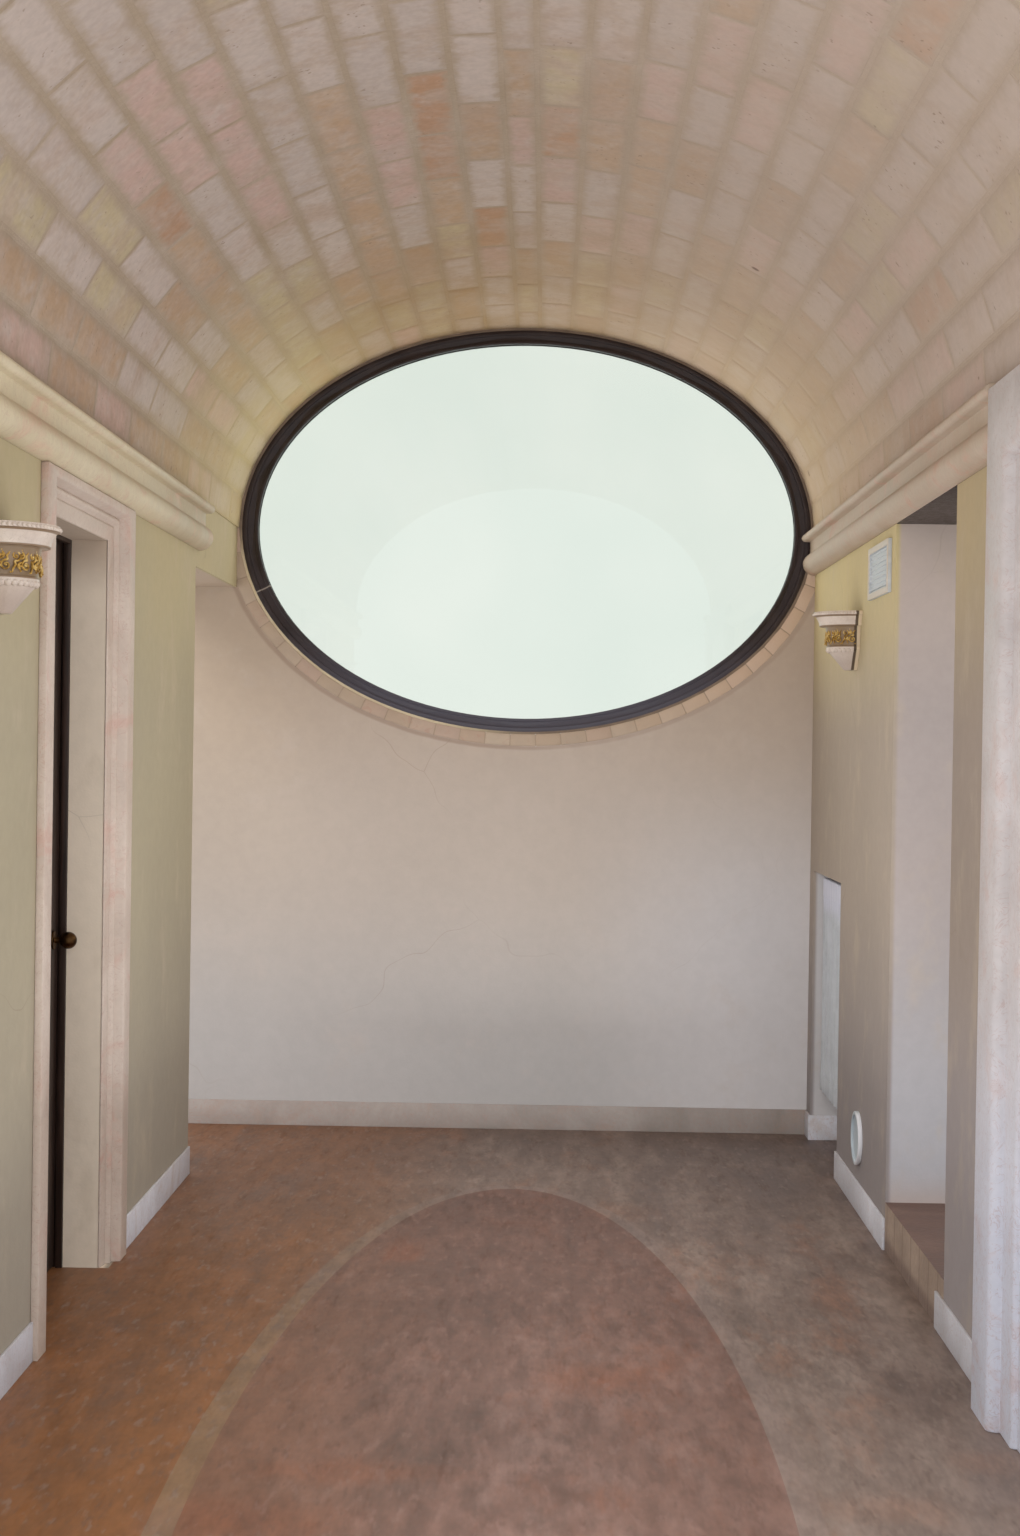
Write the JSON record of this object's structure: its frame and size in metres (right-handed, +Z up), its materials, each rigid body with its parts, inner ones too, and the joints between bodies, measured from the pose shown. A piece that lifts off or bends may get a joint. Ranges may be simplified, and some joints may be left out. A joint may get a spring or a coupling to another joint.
{
  "type": "vaulted hall bay with oval window",
  "caption": "End bay of a stone barrel-vaulted hall whose end wall holds a wide oval window set in a stone ring, with side openings, a hinged door and an inlaid floor.",
  "frame": {"origin": "on the ground, at the middle of the footprint", "axes": "+Z up, +Y along the hall towards the end wall with the oval window, +X to the right when facing that wall"},
  "size_m": [3.044, 5.55, 3.64],
  "materials": {
    "slab": "rough cast floor slab",
    "floor_finish": "polished tan brown floor finish with a soft sheen",
    "floor_border": "paler polished border",
    "floor_inlay": "polished reddish floor finish",
    "end_plaster": "smooth cream plaster",
    "wall_plaster": "smooth yellowish plaster",
    "outer_render": "lime render, matt",
    "vault_stone": "dressed pale sandstone with flush ochre mortar",
    "ring_stone": "dressed pinkish stone",
    "mortar": "ochre lime mortar",
    "frame_steel": "dark brown paint, satin",
    "glass": "clear double glazing",
    "pale_stone": "honed pale limestone with pink stains",
    "dark_wood": "dark brown stained wood, satin",
    "bronze": "aged bronze",
    "step_tile": "fired clay tile, matt",
    "white_enamel": "white enamel, satin",
    "lamp_ceramic": "cream ceramic with a gilded band"
  },
  "bodies": {
    "hall": {"floor_slab": "slab", "floor_screed": "floor_finish", "floor_border": "floor_border", "floor_inlay": "floor_inlay", "end_wall": "end_plaster", "gable": "outer_render", "left_wall_front": "wall_plaster", "left_wall_over_door": "wall_plaster", "left_wall_pier": "wall_plaster", "left_wall_over_passage": "wall_plaster", "right_wall_end": "wall_plaster", "right_wall_over_doorway": "wall_plaster", "right_wall_pier": "wall_plaster", "right_wall_over_portal": "wall_plaster", "right_wall_front": "wall_plaster", "vault_key": "vault_stone", "vault_left_springers": "vault_stone", "vault_left_haunch": "vault_stone", "vault_left_crown": "vault_stone", "vault_right_springers": "vault_stone", "vault_right_haunch": "vault_stone", "vault_right_crown": "vault_stone", "vault_cover": "outer_render", "oval_ring_lower": "ring_stone", "oval_ring_upper": "ring_stone", "mortar_bed": "mortar", "window_frame": "frame_steel", "window_glass": "glass", "glazing_bead": "frame_steel", "cornice_left": "pale_stone", "cornice_right": "pale_stone", "skirting_left": "pale_stone", "skirting_right": "pale_stone", "skirting_end": "pale_stone", "door_trim": "pale_stone", "door_frame": "dark_wood", "jamb_hinges": "bronze", "doorway_step": "step_tile", "doorway_lintel": "dark_wood", "portal_trim": "pale_stone", "radiator": "white_enamel", "wall_lamp_left": "lamp_ceramic", "wall_lamp_right": "lamp_ceramic", "vent_grille": "white_enamel", "round_vent": "white_enamel"},
    "door": {"door_leaf": "dark_wood", "leaf_hinges": "bronze", "door_knob": "bronze"}
  },
  "joints": [
    {"name": "door_hinge", "type": "hinge", "parent": "hall", "child": "door", "pos_m": [-1.386, -0.7165, 1.22], "axis": [0, 0, 1], "range_deg": [0, 90]}
  ]
}
